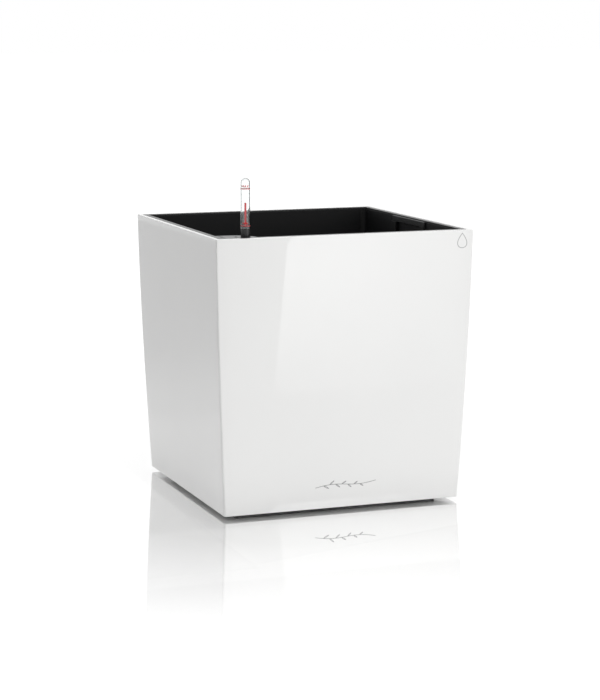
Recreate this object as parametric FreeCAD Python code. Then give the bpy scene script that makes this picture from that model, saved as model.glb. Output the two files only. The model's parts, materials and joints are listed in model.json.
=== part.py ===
"""Self-watering planter: a glossy square shell, a lift-out liner with a water reservoir, and a float gauge.

Frame: millimetres, +Z up, the origin on the ground under the middle of the shell, the front towards -Y.
The supply shaft and the float gauge stand in the front left corner; the two carry handles are in the left
and right walls of the liner.
"""

import FreeCAD, Part

import math
import os

from FreeCAD import Vector

# ---------------------------------------------------------------- driving dimensions, mm
# shell
top_width = 400.0          # outside, across the flats at the rim
rim_height = 412.0         # ground to rim
edge_inset = 14.4          # how far the bottom edge lies inside the rim, each side
wall_bow = 2.0             # bulge of each wall past its straight chord, at mid height
shell_wall = 4.0
shell_floor = 4.5
rim_land = 6.5             # width of the flat rim
rim_depth = 12.0           # height of the thicker rim
corner_radius_top = 1.6
corner_radius_base = 3.6
rim_round = 1.0
# base ring and its pads
base_lift = 5.3            # ground to the shell's bottom edge
base_recess = 26.0         # shell's bottom edge to the ring's outside
base_ring_width = 16.0
pad_radius = 5.5
pad_thickness = 1.8
pad_proud = 0.8
peg_radius = 2.5
peg_length = 3.0
# liner
liner_wall = 3.0
liner_floor = 3.0
liner_clearance = 1.5      # liner's foot to the shell's wall
liner_foot_height = 12.0   # shell floor to the underside of the liner's floor
liner_corner_radius = 8.0  # inside
frame_thickness = 2.6
frame_clearance = 0.3      # rim frame to the shell's rim
frame_skirt = 2.0          # thickness of the frame's outer skirt
frame_skirt_depth = 9.0
frame_land = 7.6           # width of the frame's flat top
liner_ledge = 1.6          # part of the liner's wall top that shows inside the frame
flange_thickness = 2.5
floor_rib_offset = 60.0    # centre of the planter to each of the two ribs under the floor
notch_half = 15.0          # half the width of the drain notches in the liner's foot
notch_height = 4.0
# carry handles
handle_length = 123.0
handle_height = 9.0
handle_thickness = 2.8
handle_drop = 1.7          # rim to the top of the stowed handle
handle_leg_width = 15.0
handle_leg_thickness = 2.2
handle_travel = 46.0
guide_height = 46.0
guide_wall = 2.1
guide_cover = 1.4
foot_height = 6.0
foot_overhang = 2.6
stop_spare = 2.0
# separator, its legs and the wick baskets
reservoir_depth = 87.0
separator_thickness = 2.5
separator_lip = 5.0
separator_clearance = 0.6
leg_radius = 9.0
leg_wall = 1.8
basket_offset = 85.0       # centre of the planter to a basket's centre, along X and along Y
basket_radius = 27.0       # at the top
basket_taper = 5.0
basket_wall = 2.0
basket_flange = 4.0
basket_gap = 2.0           # basket's bottom to the liner's floor
air_hole_radius = 2.2
air_hole_pitch = 25.0
# supply shaft and its cover
shaft_length = 56.0        # along the front, from the frame's inner edge
shaft_width = 44.0         # along the side
shaft_radius = 36.0        # its round inner corner
shaft_wall = 1.6
cover_thickness = 3.2
cover_drop = 1.2           # rim to the top of the cover
fill_margin = 4.5          # frame's inner edge to the fill opening
fill_length = 24.0         # along X
fill_width = 31.0          # along Y
lid_thickness = 1.8
lid_gap = 0.4
hinge_radius = 1.3
hinge_pin_radius = 0.6
hinge_ear = 6.0
hinge_barrel = 14.0
# float gauge
gauge_from_side = 54.2     # gauge axis to the shell's side, at the rim
gauge_gap = 0.6            # gauge tube to the supply shaft's front wall, at the foot
gauge_radius = 7.1         # clear cap and collar
gauge_tube_radius = 5.8
gauge_tube_wall = 1.0
gauge_above_rim = 84.0
collar_above_rim = 11.0
collar_below_rim = 16.0
cap_wall = 1.1
spigot_length = 2.6
pointer_above_rim = 48.0
pointer_length = 64.0
pointer_radius = 1.5
rod_radius = 1.0
float_radius = 4.2
float_length = 58.0
float_fall = 34.0          # how far the float can sink from where it is drawn
sieve_height = 5.0
# drains
shell_drain_offset = 105.0  # towards the back
shell_drain_radius = 11.0
liner_drain_radius = 9.0
plug_clearance = 0.08
plug_head_overhang = 5.0
plug_head = 3.0
seal_thickness = 1.4
seal_width = 3.6
coin_slot_width = 2.6
coin_slot_depth = 1.6
overflow_height = 79.0
overflow_wall = 2.2
fit = 0.3                  # between pieces that only sit together
slide = 0.4                # between pieces that slide

# ---------------------------------------------------------------- levels and widths that follow
floor_bottom = base_lift
floor_top = floor_bottom + shell_floor
liner_floor_bottom = floor_top + liner_foot_height
liner_floor_top = liner_floor_bottom + liner_floor
frame_top = rim_height
liner_top = frame_top - frame_thickness
separator_bottom = liner_floor_top + reservoir_depth
separator_top = separator_bottom + separator_thickness
cover_top = rim_height - cover_drop
cover_bottom = cover_top - cover_thickness

top_half = top_width / 2
edge_half = top_half - edge_inset
rim_inner_half = top_half - rim_land
frame_outer_half = rim_inner_half - frame_clearance
frame_inner_half = frame_outer_half - frame_land
liner_inner_top = frame_inner_half - liner_ledge
liner_inner_foot = edge_half - shell_wall - liner_clearance - liner_wall
liner_draft = (liner_inner_top - liner_inner_foot) / (liner_top - floor_top)


def shell_half(z):
    """Half the shell's outside width at height z: a chord from edge to rim plus a parabolic bow."""
    t = (z - floor_bottom) / (rim_height - floor_bottom)
    return edge_half + edge_inset * t + 4 * wall_bow * t * (1 - t)


def liner_inner_half(z):
    """Half the liner's inside width at height z; its walls are flat and lean outwards."""
    return liner_inner_top - (liner_top - z) * liner_draft


# ---------------------------------------------------------------- shape helpers
def block(x0, x1, y0, y1, z0, z1):
    return Part.makeBox(x1 - x0, y1 - y0, z1 - z0, Vector(x0, y0, z0))


def rod(x, y, z0, z1, radius):
    return Part.makeCylinder(radius, z1 - z0, Vector(x, y, z0))


def tube(x, y, z0, z1, outer, inner):
    return rod(x, y, z0, z1, outer).cut(rod(x, y, z0, z1, inner))


def square_wire(half, radius, z):
    """A square with rounded corners, centred on the Z axis."""
    s = half - radius
    k = radius * math.sqrt(0.5)
    edges = []
    for sx, sy in ((1, 1), (-1, 1), (-1, -1), (1, -1)):
        centre = Vector(sx * s, sy * s, z)
        flat_x = centre + Vector(sx * radius, 0, 0)
        flat_y = centre + Vector(0, sy * radius, 0)
        middle = centre + Vector(sx * k, sy * k, 0)
        first, last = (flat_x, flat_y) if sx * sy > 0 else (flat_y, flat_x)
        edges.append((Part.Arc(first, middle, last).toShape(), first, last))
    outline = []
    for i, (arc, first, last) in enumerate(edges):
        outline.append(arc)
        following = edges[(i + 1) % 4][1]
        outline.append(Part.LineSegment(last, following).toShape())
    return Part.Wire(outline)


def square_prism(half, radius, z0, z1):
    return Part.Face(square_wire(half, radius, z0)).extrude(Vector(0, 0, z1 - z0))


def square_ring(outer, inner, radius, z0, z1):
    hole = square_prism(inner, max(radius - (outer - inner), 0.5), z0, z1)
    return square_prism(outer, radius, z0, z1).cut(hole)


def square_taper(half0, z0, half1, z1, radius):
    """A straight-sided square solid that widens from half0 at z0 to half1 at z1."""
    return Part.makeLoft([square_wire(half0, radius, z0), square_wire(half1, radius, z1)], True, True)


def level_edges(shape, z, tolerance=0.01):
    """The edges that lie wholly at height z."""
    return [e for e in shape.Edges
            if abs(e.BoundBox.ZMin - z) < tolerance and abs(e.BoundBox.ZMax - z) < tolerance]


def placed(shape, angle, about, axis):
    """A copy turned by angle degrees about an axis through a point."""
    copy = shape.copy()
    copy.rotate(about, axis, angle)
    return copy


# ---------------------------------------------------------------- shell
def bowed_solid(offset, z0, z1):
    """The shell's bowed outside, moved inwards by offset, between two heights."""
    sections = []
    for i in range(5):
        z = z0 + (z1 - z0) * i / 4
        t = (z - floor_bottom) / (rim_height - floor_bottom)
        radius = corner_radius_base + (corner_radius_top - corner_radius_base) * t
        sections.append(square_wire(shell_half(z) - offset, radius, z))
    return Part.makeLoft(sections, True, False)


def peg_places():
    """Two pegs on each side of the base ring."""
    middle = edge_half - base_recess - base_ring_width / 2
    along = middle * 0.6
    places = []
    for side in (-1, 1):
        for step in (-1, 1):
            places.append((side * middle, step * along))
            places.append((step * along, side * middle))
    return places


def make_shell():
    outside = bowed_solid(0, floor_bottom, rim_height)
    outside = outside.makeFillet(rim_round, level_edges(outside, rim_height))
    outside = outside.makeFillet(rim_round, level_edges(outside, floor_bottom))
    cavity = bowed_solid(shell_wall, floor_top, rim_height - rim_depth)
    mouth = square_prism(rim_inner_half, corner_radius_top, rim_height - rim_depth, rim_height)
    shell = outside.cut(cavity).cut(mouth)
    mouth_edges = [e for e in level_edges(shell, rim_height) if e.BoundBox.XMax <= rim_inner_half + 0.01
                   and e.BoundBox.XMin >= -rim_inner_half - 0.01
                   and e.BoundBox.YMax <= rim_inner_half + 0.01
                   and e.BoundBox.YMin >= -rim_inner_half - 0.01]
    shell = shell.makeFillet(rim_round, mouth_edges)
    for x, y in peg_places():
        shell = shell.cut(rod(x, y, floor_bottom, floor_bottom + peg_length + fit, peg_radius))
    return shell.cut(rod(0, shell_drain_offset, floor_bottom, floor_top, shell_drain_radius))


def pad_places():
    """One pad in each corner of the base ring."""
    middle = edge_half - base_recess - base_ring_width / 2
    return [(sx * middle, sy * middle) for sx in (-1, 1) for sy in (-1, 1)]


def make_base_ring():
    outer = edge_half - base_recess
    ring = square_ring(outer, outer - base_ring_width, corner_radius_base, pad_proud, floor_bottom)
    for x, y in peg_places():
        ring = ring.fuse(rod(x, y, floor_bottom, floor_bottom + peg_length, peg_radius - plug_clearance))
    for x, y in pad_places():
        ring = ring.cut(rod(x, y, 0, pad_thickness, pad_radius))
    return ring.removeSplitter()


def make_foot_pads():
    pads = [rod(x, y, 0, pad_thickness, pad_radius) for x, y in pad_places()]
    return Part.makeCompound([p.makeFillet(0.4, level_edges(p, 0)) for p in pads])


# ---------------------------------------------------------------- drain plugs
def coin_slot(x, y, z0, z1, reach):
    half = coin_slot_width / 2
    return block(x - reach, x + reach, y - half, y + half, z0, z1)


def make_shell_plug():
    """Screwed down from inside the shell; its thread is drawn as a plain shank."""
    y = shell_drain_offset
    under_head = floor_top + seal_thickness
    head_radius = shell_drain_radius + plug_head_overhang
    head = rod(0, y, under_head, under_head + plug_head, head_radius)
    head = head.makeChamfer(0.8, level_edges(head, under_head + plug_head))
    shank = rod(0, y, floor_bottom + 0.5, under_head, shell_drain_radius - plug_clearance)
    top = under_head + plug_head
    return head.fuse(shank).cut(coin_slot(0, y, top - coin_slot_depth, top, head_radius * 0.7))


def make_shell_seal():
    inner = shell_drain_radius + 0.2
    return tube(0, shell_drain_offset, floor_top, floor_top + seal_thickness, inner + seal_width, inner)


def make_liner_plug():
    """Screwed up from under the liner, with a coin slot in its head."""
    over_head = liner_floor_bottom - seal_thickness
    head_radius = liner_drain_radius + plug_head_overhang
    bottom = over_head - plug_head
    head = rod(0, 0, bottom, over_head, head_radius)
    head = head.makeChamfer(0.8, level_edges(head, bottom))
    shank = rod(0, 0, over_head, liner_floor_top - 0.5, liner_drain_radius - plug_clearance)
    return head.fuse(shank).cut(coin_slot(0, 0, bottom, bottom + coin_slot_depth, head_radius * 0.7))


def make_liner_seal():
    inner = liner_drain_radius + 0.2
    return tube(0, 0, liner_floor_bottom - seal_thickness, liner_floor_bottom, inner + seal_width, inner)


def make_overflow_pipe():
    """A standpipe over the liner's drain: with the plug out, it keeps the reservoir at its full level."""
    inner = liner_drain_radius + 0.6
    return tube(0, 0, liner_floor_top, liner_floor_top + overflow_height, inner + overflow_wall, inner)


# ---------------------------------------------------------------- liner and rim frame
def on_wall(shape, side):
    """Leans a shape drawn upright against the right wall to the liner's draft, for side 1 or -1 (left)."""
    hinge_line = Vector(liner_inner_top, 0, liner_top)
    leaned = placed(shape, math.degrees(math.atan(liner_draft)), hinge_line, Vector(0, 1, 0))
    if side < 0:
        leaned = placed(leaned, 180, Vector(0, 0, 0), Vector(0, 0, 1))
    return leaned


def handle_levels():
    """Top, bottom and leg end of the stowed handle, at the wall."""
    top = rim_height - handle_drop
    bottom = top - handle_height
    guide_top = bottom - fit
    guide_bottom = guide_top - guide_height
    foot_top = guide_bottom - handle_travel - stop_spare
    return top, bottom, guide_top, guide_bottom, foot_top


def leg_centre():
    return handle_length / 2 - handle_leg_width / 2


def make_handle(side):
    """A flat grip bar on two legs that slide in the liner's guides; wider feet stop it at full height."""
    wall = liner_inner_top
    top, bottom, guide_top, guide_bottom, foot_top = handle_levels()
    half = handle_length / 2
    bar = block(wall - fit - handle_thickness, wall - fit, -half, half, bottom, top)
    bar = bar.makeFillet(0.8, bar.Edges)
    solid = bar
    inner = wall - 2 * fit - handle_leg_thickness
    outer = wall - 2 * fit
    for step in (-1, 1):
        y = step * leg_centre()
        leg_half = handle_leg_width / 2
        leg = block(inner, outer, y - leg_half, y + leg_half, foot_top, bottom + 2)
        foot_half = leg_half + foot_overhang
        foot = block(inner, outer, y - foot_half, y + foot_half, foot_top - foot_height, foot_top)
        solid = solid.fuse(leg).fuse(foot)
    return on_wall(solid.removeSplitter(), side)


def make_guides(side):
    """Two flat sleeves moulded on the liner's wall, open above and below, for the handle's legs."""
    wall = liner_inner_top
    top, bottom, guide_top, guide_bottom, foot_top = handle_levels()
    guides = []
    slot_half = handle_leg_width / 2 + slide
    outer_half = slot_half + guide_wall
    slot_depth = 2 * fit + handle_leg_thickness + slide
    for step in (-1, 1):
        y = step * leg_centre()
        sleeve = block(wall - slot_depth - guide_cover, wall + liner_wall / 2, y - outer_half, y + outer_half,
                       guide_bottom, guide_top)
        slot = block(wall - slot_depth, wall + liner_wall, y - slot_half, y + slot_half,
                     guide_bottom - 1, guide_top + 1)
        guides.append((on_wall(sleeve, side), on_wall(slot, side)))
    return guides


def make_liner():
    outer_foot = liner_inner_half(floor_top) + liner_wall
    outer_top = liner_inner_top + liner_wall
    outer_radius = liner_corner_radius + liner_wall
    body = square_taper(outer_foot, floor_top, outer_top, liner_top, outer_radius)
    flange_half = frame_outer_half - frame_skirt - 0.2
    body = body.fuse(square_prism(flange_half, outer_radius, liner_top - flange_thickness, liner_top))
    inside = square_taper(liner_inner_half(liner_floor_top), liner_floor_top, liner_inner_top, liner_top,
                          liner_corner_radius)
    under_half = outer_foot - liner_wall
    under = square_prism(under_half, liner_corner_radius, floor_top, liner_floor_bottom)
    body = body.cut(inside).cut(under)
    for side in (-1, 1):
        at = side * floor_rib_offset
        half_rib = liner_wall / 2
        body = body.fuse(block(at - half_rib, at + half_rib, -under_half - 1, under_half + 1,
                               floor_top, liner_floor_bottom))
    reach = outer_foot + 5
    body = body.cut(block(-reach, reach, -notch_half, notch_half, floor_top, floor_top + notch_height))
    body = body.cut(block(-notch_half, notch_half, -reach, reach, floor_top, floor_top + notch_height))
    pipe_outer = liner_drain_radius + 0.6 + overflow_wall
    body = body.fuse(tube(0, 0, liner_floor_top, liner_floor_top + 8, pipe_outer + 3, pipe_outer + 0.1))
    body = body.cut(rod(0, 0, liner_floor_bottom, liner_floor_top, liner_drain_radius))
    for side in (-1, 1):
        for sleeve, slot in make_guides(side):
            wall_slot = slot.common(inside)
            body = body.fuse(sleeve.cut(slot.common(sleeve).common(inside))).cut(wall_slot)
    return body.removeSplitter()


def make_rim_frame():
    """The flat black frame on the liner's flange; its skirt hooks under the flange all round."""
    radius = corner_radius_top
    frame = square_ring(frame_outer_half, frame_inner_half, radius, liner_top, frame_top)
    skirt_inner = frame_outer_half - frame_skirt
    skirt_bottom = frame_top - frame_skirt_depth
    frame = frame.fuse(square_ring(frame_outer_half, skirt_inner, radius, skirt_bottom, liner_top))
    hook_top = liner_top - flange_thickness - 0.2
    frame = frame.fuse(square_ring(skirt_inner + 0.5, skirt_inner - 1.0, liner_corner_radius, skirt_bottom, hook_top))
    frame = frame.removeSplitter()
    return frame.makeFillet(0.7, level_edges(frame, frame_top))


# ---------------------------------------------------------------- separator, legs and baskets
def basket_places():
    return [(sx * basket_offset, sy * basket_offset) for sx, sy in ((-1, -1), (1, -1), (1, 1), (-1, 1))]


def separator_half():
    return liner_inner_half(separator_bottom) - separator_clearance


def leg_places():
    """Legs near three corners, at the middle of each side and round the middle."""
    out = separator_half() - leg_radius - 8
    corners = [(out, -out), (out, out), (-out, out)]
    sides = [(out, 0), (-out, 0), (0, out), (0, -out)]
    return corners + sides


def shaft_outline(gap, z):
    """The supply shaft's plan, grown by gap: two straight sides and a round inner corner, past the liner's walls."""
    corner_x = -frame_inner_half
    corner_y = -frame_inner_half
    right = corner_x + shaft_length + gap
    back = corner_y + shaft_width + gap
    radius = shaft_radius + gap
    past = 10.0
    start = Vector(corner_x - past, corner_y - past, z)
    a = Vector(right, corner_y - past, z)
    b = Vector(right, back - radius, z)
    c = Vector(right - radius, back, z)
    d = Vector(corner_x - past, back, z)
    k = radius * math.sqrt(0.5)
    middle = Vector(right - radius + k, back - radius + k, z)
    return Part.Wire([Part.LineSegment(start, a).toShape(), Part.LineSegment(a, b).toShape(),
                      Part.Arc(b, middle, c).toShape(), Part.LineSegment(c, d).toShape(),
                      Part.LineSegment(d, start).toShape()])


def shaft_prism(gap, z0, z1):
    return Part.Face(shaft_outline(gap, z0)).extrude(Vector(0, 0, z1 - z0))


def inside_liner(gap, z0, z1):
    """The space inside the liner's walls, kept gap away from them."""
    return square_taper(liner_inner_half(z0) - gap, z0, liner_inner_half(z1) - gap, z1,
                        max(liner_corner_radius - gap, 0.5))


def make_separator():
    half = separator_half()
    plate = square_prism(half, liner_corner_radius, separator_bottom, separator_top)
    lip = square_ring(half, half - 2, liner_corner_radius, separator_top, separator_top + separator_lip)
    plate = plate.fuse(lip).removeSplitter()
    holes = []
    for x, y in basket_places():
        holes.append(rod(x, y, separator_bottom, separator_top, basket_radius + slide))
    steps = int((half - 14) / air_hole_pitch)
    keep_off = basket_radius + basket_flange + air_hole_radius + 3
    for i in range(-steps, steps + 1):
        for j in range(-steps, steps + 1):
            x = i * air_hole_pitch
            y = j * air_hole_pitch
            near_basket = any(math.hypot(x - bx, y - by) < keep_off for bx, by in basket_places())
            near_leg = any(math.hypot(x - lx, y - ly) < leg_radius + 5 for lx, ly in leg_places())
            in_corner = (x < -frame_inner_half + shaft_length + 12 and y < -frame_inner_half + shaft_width + 12)
            if not (near_basket or near_leg or in_corner):
                holes.append(rod(x, y, separator_bottom, separator_top, air_hole_radius))
    plate = plate.cut(Part.makeCompound(holes))
    return plate.cut(shaft_prism(1.0, separator_bottom - 1, separator_top + separator_lip + 1))


def make_legs():
    """Plain tubes that stand on the liner's floor under the separator."""
    return Part.makeCompound([tube(x, y, liner_floor_top, separator_bottom, leg_radius, leg_radius - leg_wall)
                              for x, y in leg_places()])


def make_basket(x, y):
    """A slotted cup that hangs in the separator; the growing medium in it draws up water."""
    bottom = liner_floor_top + basket_gap
    height = separator_top - bottom
    low = basket_radius - basket_taper
    cup = Part.makeCone(low, basket_radius, height, Vector(x, y, bottom))
    flange = rod(x, y, separator_top, separator_top + 2, basket_radius + basket_flange)
    hollow = Part.makeCone(low - basket_wall, basket_radius - basket_wall, height - basket_wall + 2,
                           Vector(x, y, bottom + basket_wall))
    cup = cup.fuse(flange).cut(hollow)
    slot_rows = 3
    slot_height = (height - 18) / slot_rows - 7
    cutters = []
    for row in range(slot_rows):
        z = bottom + 9 + row * (slot_height + 7)
        for turn in range(4):
            slot = block(x - 40, x + 40, y - 1.3, y + 1.3, z, z + slot_height)
            cutters.append(placed(slot, 45 * turn + 22.5 * (row % 2), Vector(x, y, 0), Vector(0, 0, 1)))
    for turn in range(6):
        angle = math.radians(60 * turn)
        cutters.append(rod(x + 12 * math.cos(angle), y + 12 * math.sin(angle), bottom - 1,
                           bottom + basket_wall + 1, 2.0))
    for cutter in cutters:
        cup = cup.cut(cutter)
    return cup


# ---------------------------------------------------------------- supply shaft and cover
def fill_box(gap, z0, z1):
    """The fill opening beside the gauge, grown by gap."""
    x0 = -frame_inner_half + fill_margin
    y0 = -frame_inner_half + fill_margin
    return block(x0 - gap, x0 + fill_length + gap, y0 - gap, y0 + fill_width + gap, z0, z1)


def gauge_axis():
    """X and Y of the gauge, which stands as near the front as the shaft's leaning wall lets its foot stand."""
    shaft_inside = liner_inner_half(liner_floor_top) - fit - shaft_wall
    return -top_half + gauge_from_side, -shaft_inside + gauge_gap + gauge_tube_radius


def make_shaft():
    bottom, top = liner_floor_top, cover_bottom
    outer = shaft_prism(0, bottom, top).common(inside_liner(fit, bottom, top))
    inner = shaft_prism(-shaft_wall, bottom, top).common(inside_liner(fit + shaft_wall, bottom, top))
    shaft = outer.cut(inner)
    right = -frame_inner_half + shaft_length
    back = -frame_inner_half + shaft_width
    port_height = 12.0
    for dx in (12.0, 26.0):
        shaft = shaft.cut(block(right - shaft_radius - dx + 8, right - shaft_radius - dx + 16,
                                back - 5, back + 5, bottom, bottom + port_height))
    return shaft.cut(block(right - 5, right + 5, back - shaft_radius - 4, back - shaft_radius + 4,
                           bottom, bottom + port_height))


def hinge_axis():
    """X and Z of the fill lid's hinge pin, which runs along Y."""
    return -frame_inner_half + fill_margin + hinge_radius + 0.3, cover_top - hinge_radius


def hinge_spans():
    """Y spans of the cover's two ears and of the lid's barrel between them."""
    middle = -frame_inner_half + fill_margin + fill_width / 2
    barrel = (middle - hinge_barrel / 2, middle + hinge_barrel / 2)
    first = (barrel[0] - slide - hinge_ear, barrel[0] - slide)
    second = (barrel[1] + slide, barrel[1] + slide + hinge_ear)
    return first, second, barrel


def along_y(x, z, y0, y1, radius):
    return Part.makeCylinder(radius, y1 - y0, Vector(x, y0, z), Vector(0, 1, 0))


def make_cover():
    """The corner plate: it bridges the shaft, holds the gauge upright and carries the fill lid."""
    edge_gap = frame_inner_half - fit
    upper = shaft_prism(0, liner_top, cover_top).common(
        square_prism(edge_gap, corner_radius_top, liner_top, cover_top))
    lower = shaft_prism(0, cover_bottom, liner_top).common(inside_liner(fit, cover_bottom, liner_top))
    plug_outer = shaft_prism(-shaft_wall - fit, cover_bottom - 5, cover_bottom)
    plug_inner = shaft_prism(-2 * shaft_wall - fit, cover_bottom - 5, cover_bottom)
    room = inside_liner(shaft_wall + 2 * fit, cover_bottom - 5, cover_bottom)
    hollow = inside_liner(2 * shaft_wall + 2 * fit, cover_bottom - 5, cover_bottom)
    plug = plug_outer.common(room).cut(plug_inner.common(hollow))
    cover = upper.fuse(lower).fuse(plug).removeSplitter()
    cover = cover.makeFillet(0.5, [e for e in level_edges(cover, cover_top)])
    seat = cover_top - lid_thickness - 0.1
    cover = cover.cut(fill_box(0, seat, cover_top + 1))
    cover = cover.cut(fill_box(-1.5, cover_bottom - 6, cover_top))
    hx, hz = hinge_axis()
    first, second, barrel = hinge_spans()
    trough = block(-frame_inner_half + fill_margin, hx + hinge_radius + slide, first[0] - slide, second[1] + slide,
                   cover_bottom - 6, cover_top + 1)
    cover = cover.cut(trough)
    for y0, y1 in (first, second):
        ear = along_y(hx, hz, y0, y1, hinge_radius)
        web = block(-frame_inner_half + fill_margin - 1, hx, y0, y1, hz - hinge_radius, hz)
        cover = cover.fuse(ear.fuse(web).cut(along_y(hx, hz, y0 - 1, y1 + 1, hinge_pin_radius)))
    gx, gy = gauge_axis()
    return cover.cut(rod(gx, gy, cover_bottom - 6, cover_top + 1, gauge_radius + fit)).removeSplitter()


def make_fill_lid():
    x0 = -frame_inner_half + fill_margin
    hx, hz = hinge_axis()
    first, second, barrel = hinge_spans()
    plate = fill_box(-lid_gap, cover_top - lid_thickness, cover_top)
    clear_hinge = block(x0 - 1, hx + hinge_radius + lid_gap, first[0] - slide, second[1] + slide,
                        cover_top - lid_thickness - 1, cover_top + 1)
    plate = plate.cut(clear_hinge)
    left_strips = block(x0 - 1, hx + hinge_radius + lid_gap, -2 * top_half, 2 * top_half,
                        cover_top - lid_thickness - 1, cover_top + 1)
    plate = plate.cut(left_strips)
    notch_y = sum(barrel) / 2
    plate = plate.cut(rod(x0 + fill_length - lid_gap, notch_y, cover_top - 5, cover_top + 5, 4.0))
    knuckle = along_y(hx, hz, barrel[0], barrel[1], hinge_radius)
    web = block(hx, hx + hinge_radius + lid_gap + 1, barrel[0], barrel[1], cover_top - lid_thickness,
                cover_top - 0.3)
    lid = plate.fuse(knuckle).fuse(web)
    return lid.cut(along_y(hx, hz, barrel[0] - 1, barrel[1] + 1, hinge_pin_radius + 0.06)).removeSplitter()


def make_hinge_pin():
    hx, hz = hinge_axis()
    first, second, barrel = hinge_spans()
    return along_y(hx, hz, first[0], second[1], hinge_pin_radius - 0.02)


# ---------------------------------------------------------------- float gauge
def gauge_levels():
    """Bottom of the gauge tube, top of the collar and top of the clear cap."""
    return liner_floor_top + 1.5, rim_height + collar_above_rim, rim_height + gauge_above_rim


def make_gauge_tube():
    """The long black tube: a collar where it passes the cover, and a spigot for the clear cap."""
    x, y = gauge_axis()
    bottom, collar_top, top = gauge_levels()
    collar_bottom = rim_height - collar_below_rim
    bore = gauge_tube_radius - gauge_tube_wall
    body = rod(x, y, bottom, collar_bottom, gauge_tube_radius)
    body = body.fuse(rod(x, y, collar_bottom, collar_top, gauge_radius))
    body = body.fuse(rod(x, y, collar_top, collar_top + spigot_length, gauge_radius - cap_wall - 0.1))
    body = body.cut(rod(x, y, bottom, collar_top + spigot_length, bore - 0.5))
    body = body.cut(rod(x, y, bottom, collar_bottom, bore))
    for turn in range(2):
        for z in (bottom + sieve_height + 4, bottom + sieve_height + 22):
            slot = block(x - 10, x + 10, y - 1.0, y + 1.0, z, z + 12)
            body = body.cut(placed(slot, 90 * turn, Vector(x, y, 0), Vector(0, 0, 1)))
    return body.removeSplitter()


def make_gauge_cap():
    x, y = gauge_axis()
    bottom, collar_top, top = gauge_levels()
    dome = top - gauge_radius
    outside = rod(x, y, collar_top, dome, gauge_radius).fuse(Part.makeSphere(gauge_radius, Vector(x, y, dome)))
    inner = gauge_radius - cap_wall
    hollow = rod(x, y, collar_top, dome, inner).fuse(Part.makeSphere(inner, Vector(x, y, dome)))
    outside = outside.removeSplitter()
    return outside.cut(hollow.removeSplitter())


def make_sieve():
    """Closes the foot of the gauge tube and lets water in."""
    x, y = gauge_axis()
    bottom = gauge_levels()[0]
    plug = rod(x, y, bottom, bottom + sieve_height, gauge_tube_radius - gauge_tube_wall - 0.05)
    plug = plug.fuse(rod(x, y, liner_floor_top, bottom, gauge_tube_radius)).removeSplitter()
    for turn in range(5):
        angle = math.radians(72 * turn)
        plug = plug.cut(rod(x + 3 * math.cos(angle), y + 3 * math.sin(angle), liner_floor_top,
                            bottom + sieve_height, 0.9))
    return plug


def make_rod_guide():
    """A small bush in the spigot that keeps the pointer upright."""
    x, y = gauge_axis()
    bottom, collar_top, top = gauge_levels()
    bush_top = collar_top + spigot_length
    bore = gauge_tube_radius - gauge_tube_wall - 0.5
    bush = rod(x, y, bush_top - 4, bush_top, bore - 0.05).fuse(rod(x, y, bush_top, bush_top + 1, bore + 0.6))
    bush = bush.cut(rod(x, y, bush_top - 5, bush_top + 2, pointer_radius + 0.3))
    return bush.removeSplitter()


def float_levels():
    """Bottom of the float, and bottom and top of the red pointer."""
    bottom = gauge_levels()[0] + sieve_height + float_fall + 1.0
    pointer_top = rim_height + pointer_above_rim
    return bottom, pointer_top - pointer_length, pointer_top


def make_float():
    x, y = gauge_axis()
    bottom = float_levels()[0]
    body = rod(x, y, bottom, bottom + float_length, float_radius)
    body = body.makeFillet(1.2, level_edges(body, bottom) + level_edges(body, bottom + float_length))
    return body.cut(rod(x, y, bottom + float_length - 20, bottom + float_length, rod_radius))


def make_float_rod():
    x, y = gauge_axis()
    bottom, pointer_bottom, pointer_top = float_levels()
    return rod(x, y, bottom + float_length - 20, pointer_bottom + 10, rod_radius)


def make_pointer():
    x, y = gauge_axis()
    bottom, pointer_bottom, pointer_top = float_levels()
    body = rod(x, y, pointer_bottom, pointer_top, pointer_radius)
    body = body.makeFillet(0.6, level_edges(body, pointer_top))
    return body.cut(rod(x, y, pointer_bottom, pointer_bottom + 10, rod_radius))


# ---------------------------------------------------------------- all pieces
def pieces():
    made = {
        "outer_shell": make_shell(),
        "base_ring": make_base_ring(),
        "foot_pads": make_foot_pads(),
        "shell_drain_plug": make_shell_plug(),
        "shell_drain_seal": make_shell_seal(),
        "liner": make_liner(),
        "rim_frame": make_rim_frame(),
        "carry_handle_right": make_handle(1),
        "carry_handle_left": make_handle(-1),
        "liner_drain_plug": make_liner_plug(),
        "liner_drain_seal": make_liner_seal(),
        "overflow_pipe": make_overflow_pipe(),
        "separator_plate": make_separator(),
        "separator_legs": make_legs(),
        "supply_shaft": make_shaft(),
        "shaft_cover": make_cover(),
        "fill_lid": make_fill_lid(),
        "lid_hinge_pin": make_hinge_pin(),
        "gauge_tube": make_gauge_tube(),
        "gauge_cap": make_gauge_cap(),
        "gauge_sieve": make_sieve(),
        "rod_guide": make_rod_guide(),
        "float": make_float(),
        "float_rod": make_float_rod(),
        "float_pointer": make_pointer(),
    }
    for number, (x, y) in enumerate(basket_places(), start=1):
        made[f"wick_basket_{number}"] = make_basket(x, y)
    return made


def main():
    os.makedirs("parts", exist_ok=True)
    for name, shape in pieces().items():
        shape.exportStep(f"parts/{name}.step")


main()
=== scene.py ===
"""Self-watering planter: the looks of its pieces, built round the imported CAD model."""

import json
import math

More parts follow.
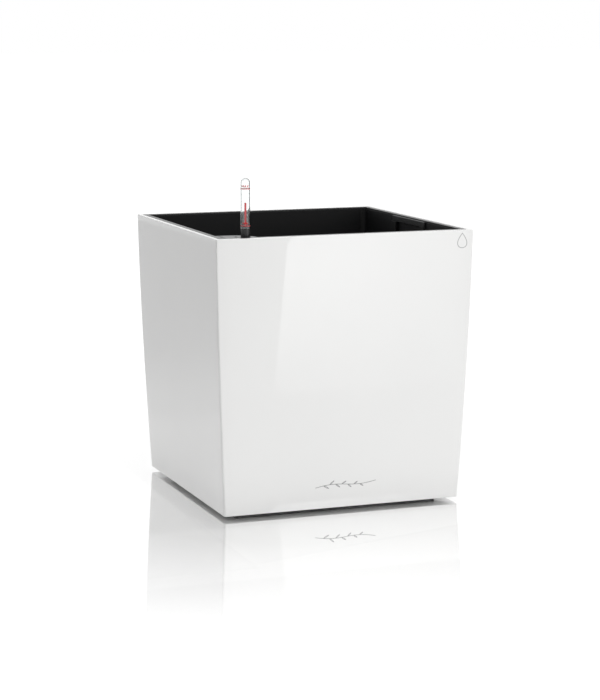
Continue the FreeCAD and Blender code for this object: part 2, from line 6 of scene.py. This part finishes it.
import bpy
import numpy as np
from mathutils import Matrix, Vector


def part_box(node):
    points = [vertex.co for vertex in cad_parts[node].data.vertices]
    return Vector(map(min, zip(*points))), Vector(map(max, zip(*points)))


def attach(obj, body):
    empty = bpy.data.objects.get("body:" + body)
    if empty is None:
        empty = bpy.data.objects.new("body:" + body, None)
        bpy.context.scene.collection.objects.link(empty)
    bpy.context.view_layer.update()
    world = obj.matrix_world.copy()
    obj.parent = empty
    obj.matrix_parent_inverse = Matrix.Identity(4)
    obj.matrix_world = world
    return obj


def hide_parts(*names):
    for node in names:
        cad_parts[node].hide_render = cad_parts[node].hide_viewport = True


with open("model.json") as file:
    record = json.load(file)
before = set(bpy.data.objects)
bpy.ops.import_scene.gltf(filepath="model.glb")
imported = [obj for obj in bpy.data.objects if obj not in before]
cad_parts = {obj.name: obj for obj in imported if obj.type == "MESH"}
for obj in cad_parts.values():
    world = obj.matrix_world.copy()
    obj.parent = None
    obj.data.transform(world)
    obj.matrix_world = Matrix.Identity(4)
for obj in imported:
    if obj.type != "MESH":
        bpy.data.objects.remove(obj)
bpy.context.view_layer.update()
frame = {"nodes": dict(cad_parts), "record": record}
nodes = frame["nodes"]

# ---------------------------------------------------------------- camera
# A long lens a little above the rim, round the front left corner. The planter's height, given by the frame,
# sets how far away it stands.
rim_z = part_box("outer_shell")[1].z
camera_data = bpy.data.cameras.new("camera")
camera_data.sensor_width = 36.0
camera_data.lens = 108.3
camera_data.clip_end = 50.0
camera = bpy.data.objects.new("camera", camera_data)
look_round = math.radians(20.53)
look_down = math.radians(9.24)
stand_off = 7.913 * rim_z
look_at = Vector((0.001, 0.0, 0.5155 * rim_z))
ahead = Vector((math.sin(look_round) * math.cos(look_down), math.cos(look_round) * math.cos(look_down),
                -math.sin(look_down)))
camera.location = look_at - ahead * stand_off
camera.rotation_euler = ahead.to_track_quat("-Z", "Y").to_euler()
bpy.context.scene.collection.objects.link(camera)
bpy.context.scene.camera = camera

# ---------------------------------------------------------------- outer shell
# The square planter that shows: ABS injection moulded with gently bowed walls, sprayed white and lacquered to
# a high gloss. Its rim is a narrow flat land with small rounds, and its floor has the drain hole.
MM = 0.001
sharp_from = math.radians(32)


def linear(code):
    """An sRGB hex colour as linear RGB, by the standard curve."""
    value = np.array([int(code[i:i + 2], 16) / 255 for i in (1, 3, 5)])
    low = value / 12.92
    high = ((value + 0.055) / 1.055) ** 2.4
    return (*np.where(value <= 0.04045, low, high), 1.0)


def add(tree, kind, links=(), **settings):
    """Adds one shader node. Settings go to its sockets by name, or to the node itself where it has no such
    socket. Links are (from node, from socket, to socket)."""
    made = tree.nodes.new(kind)
    for name, value in settings.items():
        socket = made.inputs.get(name.replace("_", " "))
        if socket is not None:
            socket.default_value = value
        else:
            setattr(made, name, value)
    for source, output, target in links:
        tree.links.new(source.outputs[output], made.inputs[target])
    return made


def new_material(name, **settings):
    """A material with one Principled shader, whose sockets are given by name, and its node tree."""
    material = bpy.data.materials.new(name)
    material.use_nodes = True
    tree = material.node_tree
    shader = tree.nodes["Principled BSDF"]
    for socket, value in settings.items():
        shader.inputs[socket.replace("_", " ")].default_value = value
    return material, tree, shader


def closed_surface(name, points):
    """A grid of points (rows along the profile, columns round the piece) as a closed mesh object. Each quad
    joins two neighbouring columns of two neighbouring rows, and the last row and column join the first."""
    rows, columns = points.shape[:2]
    row = np.arange(rows)[:, None]
    column = np.arange(columns)[None, :]
    next_row = (row + 1) % rows
    next_column = (column + 1) % columns
    quads = np.stack(np.broadcast_arrays(
        row * columns + column, row * columns + next_column,
        next_row * columns + next_column, next_row * columns + column), axis=-1)
    mesh = bpy.data.meshes.new(name)
    mesh.from_pydata(points.reshape(-1, 3).tolist(), [], quads.reshape(-1, 4).tolist())
    mesh.shade_smooth()
    mesh.set_sharp_from_angle(angle=sharp_from)
    made = bpy.data.objects.new(name, mesh)
    bpy.context.scene.collection.objects.link(made)
    return made


def rounded_square(half, radius, corner_steps=10, side_steps=24):
    """Points round squares with rounded corners, one square per entry of half and radius: an arc about each
    corner's centre, then evenly spaced points along the straight side to the next arc."""
    half = np.atleast_1d(half)[:, None]
    radius = np.atleast_1d(radius)[:, None]
    parts_x, parts_y = [], []
    turn = np.linspace(0, math.pi / 2, corner_steps)[None, :]
    share = np.linspace(0, 1, side_steps + 2)[None, 1:-1]
    reach = half - radius
    for quarter in range(4):
        angle = quarter * math.pi / 2
        arc_x = reach + radius * np.cos(turn)
        arc_y = reach + radius * np.sin(turn)
        side_x = reach * (1 - 2 * share)
        side_y = half + 0 * share
        x = np.concatenate([arc_x, side_x], axis=1)
        y = np.concatenate([arc_y, side_y], axis=1)
        parts_x.append(x * math.cos(angle) - y * math.sin(angle))
        parts_y.append(x * math.sin(angle) + y * math.cos(angle))
    return np.concatenate(parts_x, axis=1), np.concatenate(parts_y, axis=1)


shell_low, shell_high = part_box("outer_shell")
shell_top_half = 200.0 * MM
edge_inset = 14.4 * MM
wall_bow = 2.0 * MM
shell_wall = 4.0 * MM
shell_floor = 4.5 * MM
rim_land = 6.5 * MM
rim_depth = 12.0 * MM
rim_round = 1.0 * MM
corner_round_base = 3.6 * MM
corner_round_rim = 1.6 * MM
least_corner_round = 1.5 * MM
inner_round_share = 0.6
drain_at = np.array([0.0, 105.0 * MM])
drain_radius = 11.0 * MM


def shell_half(z):
    """Half the shell's width at height z: a straight chord from edge to rim plus a parabolic bow."""
    t = (z - shell_low.z) / (shell_high.z - shell_low.z)
    return shell_top_half - edge_inset * (1 - t) + 4 * wall_bow * t * (1 - t)


def corner_radius(z):
    """The vertical edges' radius, which falls evenly from the bottom edge to the rim."""
    t = (z - shell_low.z) / (shell_high.z - shell_low.z)
    return corner_round_base + (corner_round_rim - corner_round_base) * t


def shell_surface():
    """The shell as one closed skin: a profile of (inset from the bowed outside, height) carried round the
    rounded square, then across the floor to the drain hole and back under the floor."""
    z0, z1 = shell_low.z, shell_high.z
    bend = np.linspace(0, math.pi / 2, 6)
    rise = np.linspace(z0 + rim_round, z1 - rim_round, 44)
    inside = np.linspace(z1 - rim_depth, z0 + shell_floor, 40)
    inset = np.concatenate([
        rim_round * (1 - np.sin(bend)),
        np.zeros(len(rise) - 2),
        rim_round * (1 - np.cos(bend)),
        rim_land - rim_round * (1 - np.sin(bend)),
        [rim_land],
        np.full(len(inside), shell_wall)])
    height = np.concatenate([
        z0 + rim_round * (1 - np.cos(bend)),
        rise[1:-1],
        z1 - rim_round * (1 - np.sin(bend)),
        z1 - rim_round * (1 - np.cos(bend)),
        [z1 - rim_depth],
        inside])
    half = shell_half(height) - inset
    in_rim = (height >= z1 - rim_depth) & (inset > rim_land - rim_round - 1e-9)
    half = np.where(in_rim, shell_top_half - inset, half)
    radius = np.maximum(corner_radius(height) - inset * inner_round_share, least_corner_round)
    x, y = rounded_square(half, radius)
    wall = np.stack([x, y, np.broadcast_to(height[:, None], x.shape)], axis=-1)
    away = wall[-1, :, :2] - drain_at
    circle = drain_at + drain_radius * away / np.linalg.norm(away, axis=1)[:, None]
    share = np.linspace(0, 1, 7)[1:, None, None]
    over = wall[-1][None, :, :2] * (1 - share) + circle[None] * share
    under = circle[None] * (1 - share) + wall[0][None, :, :2] * share
    over = np.concatenate([over, np.full(over.shape[:2] + (1,), z0 + shell_floor)], axis=-1)
    hole = np.concatenate([circle, np.full((len(circle), 1), z0)], axis=-1)[None]
    under = np.concatenate([under[:-1], np.full(under[:-1].shape[:2] + (1,), z0)], axis=-1)
    return np.concatenate([wall, over, hole, under])


shell = closed_surface("shell_skin", shell_surface())
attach(shell, "shell")
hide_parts("outer_shell")

# Lacquered ABS: a bright white under a hard clear coat that mirrors softly. Spraying leaves a faint orange
# peel about 4 mm across, and the pigment lies a touch unevenly.
lacquer, tree, shader = new_material("white_lacquered_abs", Roughness=0.34, IOR=1.46, Coat_Weight=1.0,
                                     Coat_Roughness=0.02, Coat_IOR=1.5)
where = add(tree, "ShaderNodeTexCoord")
cloud = add(tree, "ShaderNodeTexNoise", [(where, "Object", "Vector")], Scale=9.0, Detail=2.0)
tone = add(tree, "ShaderNodeMix", [(cloud, "Fac", "Factor")], data_type="RGBA")
tone.inputs["A"].default_value = linear("#e4e4e3")
tone.inputs["B"].default_value = linear("#e7e7e6")
tree.links.new(tone.outputs["Result"], shader.inputs["Base Color"])
peel = add(tree, "ShaderNodeTexNoise", [(where, "Object", "Vector")], Scale=1 / (4 * MM), Detail=1.0)
peel_bump = add(tree, "ShaderNodeBump", [(peel, "Fac", "Height")], Strength=0.05, Distance=0.02 * MM)
tree.links.new(peel_bump.outputs["Normal"], shader.inputs["Coat Normal"])
shell.data.materials.append(lacquer)

# ---------------------------------------------------------------- black and grey mouldings
# The liner, its rim frame, handles, shaft, cover, plugs and stand are injection moulded polypropylene,
# coloured in the mass, with the fine grain of a spark-eroded mould. The rim frame and handles are mixed
# lighter than the liner, which is painted light for the light they catch at the pot's top, and the stand's
# black is painted shade for the gap under the shell's bottom edge. Rubber and grey inserts differ in colour
# and gloss.
def moulded(name, dark, light, roughness, grain_mm, grain_depth_mm, ior=1.49, shine=0.5):
    """Moulded plastic: two close colours mixed by a broad cloud, and a fine grain of the given width and
    depth that also varies the gloss."""
    material, tree, shader = new_material(name, IOR=ior, Specular_IOR_Level=shine)
    where = add(tree, "ShaderNodeTexCoord")
    cloud = add(tree, "ShaderNodeTexNoise", [(where, "Object", "Vector")], Scale=22.0, Detail=3.0)
    tone = add(tree, "ShaderNodeMix", [(cloud, "Fac", "Factor")], data_type="RGBA")
    tone.inputs["A"].default_value = linear(dark)
    tone.inputs["B"].default_value = linear(light)
    tree.links.new(tone.outputs["Result"], shader.inputs["Base Color"])
    grain = add(tree, "ShaderNodeTexNoise", [(where, "Object", "Vector")], Scale=1 / (grain_mm * MM),
                Detail=2.0)
    gloss = add(tree, "ShaderNodeMapRange", [(grain, "Fac", "Value")])
    gloss.inputs["To Min"].default_value = roughness - 0.04
    gloss.inputs["To Max"].default_value = roughness + 0.05
    tree.links.new(gloss.outputs["Result"], shader.inputs["Roughness"])
    bump = add(tree, "ShaderNodeBump", [(grain, "Fac", "Height")], Strength=0.6, Distance=grain_depth_mm * MM)
    tree.links.new(bump.outputs["Normal"], shader.inputs["Normal"])
    return material


finishes = {
    "liner_black": moulded("black_moulded_pp", "#0a0a0b", "#0f0f10", 0.46, 0.9, 0.02, shine=0.22),
    # The rim frame and handles are black like the liner; their lighter mix is painted light for the light
    # they catch at the top of the pot.
    "frame_black": moulded("satin_black_pp_painted_light", "#151516", "#1b1b1c", 0.30, 1.0, 0.015),
    "handle_black": moulded("handle_black_pp_painted_light", "#161617", "#1e1e1f", 0.38, 1.0, 0.02),
    "shaft_black": moulded("shaft_black_pp", "#121213", "#18181a", 0.42, 0.9, 0.02),
    "plug_black": moulded("plug_black_pp", "#17171a", "#1e1e21", 0.36, 0.9, 0.02),
    # The stand's black is painted shade: it darkens the gap under the shell's bottom edge.
    "base_black": moulded("stand_black_painted_shade", "#141415", "#1b1b1c", 0.45, 0.9, 0.02),
    "gauge_black": moulded("gauge_black_pp", "#101011", "#161617", 0.26, 0.8, 0.01),
    "insert_grey": moulded("grey_moulded_pp", "#3b3d40", "#43464a", 0.44, 1.0, 0.02),
    "pad_rubber": moulded("black_soft_rubber", "#1c1c1d", "#232325", 0.72, 0.6, 0.03, ior=1.52),
    "seal_rubber": moulded("seal_rubber", "#202022", "#29292b", 0.66, 0.6, 0.02, ior=1.52),
    "float_foam": moulded("closed_cell_foam", "#d8d2c4", "#e3ded2", 0.80, 1.6, 0.12),
}

# ---------------------------------------------------------------- gauge cap, pointer and pins
# The cap is polished clear acrylic, the pointer is satin red, and the float's rod and the lid's pin are drawn
# stainless steel.
acrylic, tree, shader = new_material("clear_acrylic", Transmission_Weight=1.0, IOR=1.49, Roughness=0.0)
shader.inputs["Base Color"].default_value = linear("#fcfefe")
finishes["cap_clear"] = acrylic
red, tree, shader = new_material("red_abs", Roughness=0.42, IOR=1.5, Specular_IOR_Level=0.2)
shader.inputs["Base Color"].default_value = linear("#e0242d")
finishes["pointer_red"] = red
steel, tree, shader = new_material("drawn_steel", Metallic=1.0, Roughness=0.28)
shader.inputs["Base Color"].default_value = linear("#c3c5c8")
finishes["pin_steel"] = steel

slots = {part["node"]: part["material_slot"] for part in frame["record"]["subparts"]}
for name, piece in nodes.items():
    if slots[name] not in finishes:
        continue
    piece.data.materials.clear()
    piece.data.materials.append(finishes[slots[name]])

# ---------------------------------------------------------------- printed marks
# Thin layers of ink, drawn as lines: a level mark with a ring at each end of the gauge's scale, and two small
# plain motifs on the shell's front, a water drop at the rim and a leafy sprig near the foot.
INK = 0.08 * MM
ink_lift = 0.4 * INK
point_step = 1.0 * MM


def ribbon(points, width, step):
    """A flat line of the given width along a polyline, as a grid of two rows: each point moved to either
    side, across the line. Points no more than step apart are put in first."""
    points = np.asarray(points, float)
    dense = [points[:1]]
    for a, b in zip(points[:-1], points[1:]):
        count = max(1, int(np.ceil(np.linalg.norm(b - a) / step)))
        dense.append(a + (b - a) * np.linspace(0, 1, count + 1)[1:, None])
    line = np.concatenate(dense)
    along = np.gradient(line, axis=0)
    along /= np.linalg.norm(along, axis=1)[:, None]
    across = np.stack([-along[:, 1], along[:, 0]], axis=1) * width / 2
    return np.stack([line - across, line + across])


def printed(name, ribbons, place, body, ink):
    """Ribbons as one thin solid. place gives the point in space for each pair (across, up) of a ribbon."""
    vertices, faces = [], []
    for strip in ribbons:
        first = len(vertices)
        count = strip.shape[1]
        vertices += [place(*point) for point in strip.reshape(-1, 2)]
        faces += [(first + i, first + i + 1, first + count + i + 1, first + count + i)
                  for i in range(count - 1)]
    mesh = bpy.data.meshes.new(name)
    mesh.from_pydata(vertices, [], faces)
    made = bpy.data.objects.new(name, mesh)
    bpy.context.scene.collection.objects.link(made)
    layer = made.modifiers.new("ink", "SOLIDIFY")
    layer.thickness = INK
    layer.offset = 0.0
    mesh.materials.append(ink)
    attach(made, body)
    return made


strokes = {
    "M": [[(0, 0), (0, 1)], [(0, 1), (0.45, 0.3)], [(0.45, 0.3), (0.9, 1)], [(0.9, 1), (0.9, 0)]],
    "A": [[(0, 0), (0.4, 1)], [(0.4, 1), (0.8, 0)], [(0.16, 0.36), (0.64, 0.36)]],
    "X": [[(0, 0), (0.75, 1)], [(0, 1), (0.75, 0)]],
    "I": [[(0, 0), (0, 1)]],
    "N": [[(0, 0), (0, 1)], [(0, 1), (0.7, 0)], [(0.7, 0), (0.7, 1)]],
}
letter_gap = 0.32


def word(text, height, middle_z, width):
    """The letters of a word as ribbons, centred across and on middle_z."""
    made, at = [], 0.0
    for letter in text:
        lines = strokes[letter]
        for line in lines:
            made.append([(at + x, y) for x, y in line])
        at += max(x for line in lines for x, y in line) + letter_gap
    span = at - letter_gap
    placed = [[((x - span / 2) * height, middle_z + (y - 0.5) * height) for x, y in line] for line in made]
    return [ribbon(line, width, 0.3 * MM) for line in placed]


cap_low, cap_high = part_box("gauge_cap")
cap_middle = (cap_low + cap_high) / 2
cap_radius = (cap_high.x - cap_low.x) / 2
facing = math.atan2(-math.cos(look_round), -math.sin(look_round))


def on_cap(across, up):
    """The point of the cap's outside an arc length across to the right of the way it faces, at height up."""
    angle = facing + across / cap_radius
    reach = cap_radius + ink_lift
    return cap_middle.x + reach * math.cos(angle), cap_middle.y + reach * math.sin(angle), up


letter_height = 3.3 * MM
letter_line = 0.72 * MM
ring_line = 0.9 * MM
ring_below_word = 4.0 * MM
ring_across = cap_radius * np.linspace(-math.pi, math.pi, 73)
scale_marks = []
for text, text_z in (("MAX", 484.0 * MM), ("MIN", 431.0 * MM)):
    scale_marks += word(text, letter_height, text_z, letter_line)
    ring = [(across, text_z - ring_below_word) for across in ring_across]
    scale_marks.append(ribbon(ring, ring_line, point_step))
red_ink, tree, shader = new_material("red_ink", Roughness=0.45)
shader.inputs["Base Color"].default_value = linear("#cf2a30")
gauge_print = printed("gauge_print", scale_marks, on_cap, "gauge", red_ink)


def on_front(across, up):
    """The point of the shell's bowed front at that distance to the right of its middle and that height."""
    return across, -shell_half(up) - ink_lift, up


def drop_outline(middle_x, middle_z, height):
    """A water drop: the curve of width sin(a) * sin(a / 2) and height cos(a), with its point on top."""
    angle = np.linspace(0, 2 * math.pi, 65)
    x = 0.46 * height * np.sin(angle) * np.abs(np.sin(angle / 2)) ** 1.2
    z = 0.5 * height * np.cos(angle)
    return np.stack([middle_x + x, middle_z + z], axis=1)


def leaf_outline(foot, lean, length):
    """A slender leaf from its foot, leaning by that angle: two parabolas, each 0.08 of its length high."""
    share = np.linspace(0, 1, 15)
    bulge = 0.32 * share * (1 - share)
    upper = np.stack([share, bulge], axis=1)
    lower = np.stack([share, -bulge], axis=1)[::-1]
    loop = np.concatenate([upper, lower]) * length
    turn = np.array([[math.cos(lean), math.sin(lean)], [-math.sin(lean), math.cos(lean)]])
    return np.asarray(foot) + loop @ turn


def sprig(left, right, middle_z, rise):
    """A stem that swings up and down once between left and right, with leaves along it on both sides."""
    share = np.linspace(0, 1, 61)
    x = left + (right - left) * share
    z = middle_z + rise * (share - 0.5) + 2.2 * MM * np.sin(2 * math.pi * share)
    lines = [np.stack([x, z], axis=1)]
    for i, at in enumerate(range(8, 50, 6)):
        side = 1 if i % 2 else -1
        slope = math.atan2(z[at + 1] - z[at], x[at + 1] - x[at])
        lines.append(leaf_outline((x[at], z[at]), slope + side * 0.62, (9.5 - 0.5 * i) * MM))
    return lines


motif_line = 0.8 * MM
drop_across, drop_up, drop_height = 182.0 * MM, 396.5 * MM, 22.0 * MM
sprig_left, sprig_right, sprig_up, sprig_rise = -45.0 * MM, 51.0 * MM, 40.0 * MM, 5.0 * MM
grey_ink, tree, shader = new_material("grey_ink", Roughness=0.4)
shader.inputs["Base Color"].default_value = linear("#8e8e8f")
motifs = [drop_outline(drop_across, drop_up, drop_height)]
motifs += sprig(sprig_left, sprig_right, sprig_up, sprig_rise)
motifs = [ribbon(line, motif_line, point_step) for line in motifs]
front_print = printed("front_print", motifs, on_front, "shell", grey_ink)

# ---------------------------------------------------------------- floor and light
# A white studio floor, polished near the planter, and an even white surround. A soft box stands in front on
# the right and gives the front its brighter reflection, a dark flag shades the left side, and black flags far
# to the sides and above draw the thin outline of the clear cap.
floor_size = 30.0
polished_to = 0.37
matte_from = 0.88
floor_glow = 1.15
floor_mesh = bpy.data.meshes.new("floor")
floor_mesh.from_pydata([(-floor_size, -floor_size, 0), (floor_size, -floor_size, 0),
                        (floor_size, floor_size, 0), (-floor_size, floor_size, 0)], [], [(0, 1, 2, 3)])
floor = bpy.data.objects.new("floor", floor_mesh)
bpy.context.scene.collection.objects.link(floor)
floor_material = bpy.data.materials.new("white_studio_floor")
floor_material.use_nodes = True
tree = floor_material.node_tree
tree.nodes.clear()
where = add(tree, "ShaderNodeTexCoord")
apart = add(tree, "ShaderNodeVectorMath", [(where, "Object", 0)], operation="LENGTH")
polish = add(tree, "ShaderNodeMapRange", [(apart, "Value", "Value")])
polish.inputs["From Min"].default_value = polished_to
polish.inputs["From Max"].default_value = matte_from
polish.inputs["To Min"].default_value = 1.0
polish.inputs["To Max"].default_value = 0.0
white = add(tree, "ShaderNodeEmission", Color=(1, 1, 1, 1), Strength=floor_glow)
mirror = add(tree, "ShaderNodeBsdfGlossy", Roughness=0.01, Color=(0.92, 0.92, 0.92, 1))
matte = add(tree, "ShaderNodeBsdfDiffuse", Color=(0.1, 0.1, 0.1, 1))
polished = add(tree, "ShaderNodeAddShader")
tree.links.new(mirror.outputs[0], polished.inputs[0])
tree.links.new(matte.outputs[0], polished.inputs[1])
mixed = add(tree, "ShaderNodeMixShader", [(polish, "Result", "Fac")])
tree.links.new(white.outputs[0], mixed.inputs[1])
tree.links.new(polished.outputs[0], mixed.inputs[2])
add(tree, "ShaderNodeOutputMaterial", [(mixed, "Shader", "Surface")])
floor.data.materials.append(floor_material)

world = bpy.data.worlds.new("surround")
world.use_nodes = True
world.node_tree.nodes["Background"].inputs["Color"].default_value = (1, 1, 1, 1)
world.node_tree.nodes["Background"].inputs["Strength"].default_value = 1.0
bpy.context.scene.world = world
bpy.context.scene.view_settings.view_transform = "Standard"


def card(name, corners, strength, seen_by, fades=(), one_sided=False):
    """A flat card of the given corners that shines with the given strength and shows only to some rays. Each
    fade is (axis, from, to): the light above the surround's own 1 comes in, or goes out, between the two. A
    one-sided card is clear from behind."""
    mesh = bpy.data.meshes.new(name)
    mesh.from_pydata(corners, [], [(0, 1, 2, 3)])
    made = bpy.data.objects.new(name, mesh)
    bpy.context.scene.collection.objects.link(made)
    material = bpy.data.materials.new(name)
    material.use_nodes = True
    tree = material.node_tree
    tree.nodes.clear()
    shine = add(tree, "ShaderNodeEmission", Color=(1, 1, 1, 1), Strength=strength)
    if fades:
        where = add(tree, "ShaderNodeTexCoord")
        apart = add(tree, "ShaderNodeSeparateXYZ", [(where, "Object", "Vector")])
        excess = add(tree, "ShaderNodeValue")
        excess.outputs[0].default_value = strength - 1.0
        for axis, start, end in fades:
            share = add(tree, "ShaderNodeMapRange", [(apart, axis, "Value")])
            share.inputs["From Min"].default_value = start
            share.inputs["From Max"].default_value = end
            excess = add(tree, "ShaderNodeMath", [(excess, 0, 0), (share, "Result", 1)], operation="MULTIPLY")
        total = add(tree, "ShaderNodeMath", [(excess, 0, 0)], operation="ADD")
        total.inputs[1].default_value = 1.0
        tree.links.new(total.outputs[0], shine.inputs["Strength"])
    surface = shine
    if one_sided:
        side = add(tree, "ShaderNodeNewGeometry")
        clear = add(tree, "ShaderNodeBsdfTransparent")
        surface = add(tree, "ShaderNodeMixShader",
                      [(side, "Backfacing", "Fac"), (shine, 0, 1), (clear, 0, 2)])
    add(tree, "ShaderNodeOutputMaterial", [(surface, 0, "Surface")])
    mesh.materials.append(material)
    for ray in ("camera", "diffuse", "glossy", "transmission", "shadow", "volume_scatter"):
        setattr(made, "visible_" + ray, ray in seen_by)
    return made


def upright(x0, y0, x1, y1, z0, z1):
    """The corners of an upright card between two points of the floor."""
    return [(x0, y0, z0), (x1, y1, z0), (x1, y1, z1), (x0, y0, z1)]


def level(x0, y0, x1, y1, z):
    """The corners of a level card."""
    return [(x0, y0, z), (x1, y0, z), (x1, y1, z), (x0, y1, z)]


soft_box_y = -0.85
soft_box_corners = [(0.128, soft_box_y, 0.0), (2.2, soft_box_y, 0.0), (2.2, soft_box_y, 2.2),
                    (0.264, soft_box_y, 2.2)]
card("soft_box", soft_box_corners, 3.35, ("glossy",), fades=(("Z", -0.10, 0.26), ("X", 0.62, 0.12)))
card("overhead_light", level(-0.6, -0.6, 0.6, 0.6, 1.6), 2.6, ("diffuse", "glossy"))
card("side_flag", upright(-1.0, -1.6, -1.0, 1.6, 0.0, 2.6), 0.06, ("diffuse",))

just_over_floor = 0.002
foot_line = -0.225
card("front_floor_gloss", level(-0.6, soft_box_y, 1.2, foot_line, 0.003), 1.08, ("glossy",), one_sided=True)
card("front_floor_light", level(-0.45, -0.50, 0.45, foot_line, just_over_floor), 1.16, ("diffuse",))
card("left_floor_light", level(-0.50, -0.45, foot_line, 0.45, just_over_floor), 0.88, ("diffuse",))
card("left_floor_shade", level(-3.2, 0.50, -0.3, 4.0, just_over_floor), 0.88, ("glossy",),
     fades=(("Y", 0.70, 1.20),))

black = 0.02
card("left_edge_flag", upright(-0.8, 0.05, -0.8, 3.0, 0.0, 1.4), black, ("transmission",))
card("right_edge_flag", upright(1.0, -0.55, 1.0, 1.2, 0.0, 1.4), black, ("transmission",))
card("top_edge_flag", level(-1.0, -0.1, 1.0, 1.4, 1.4), black, ("transmission",))
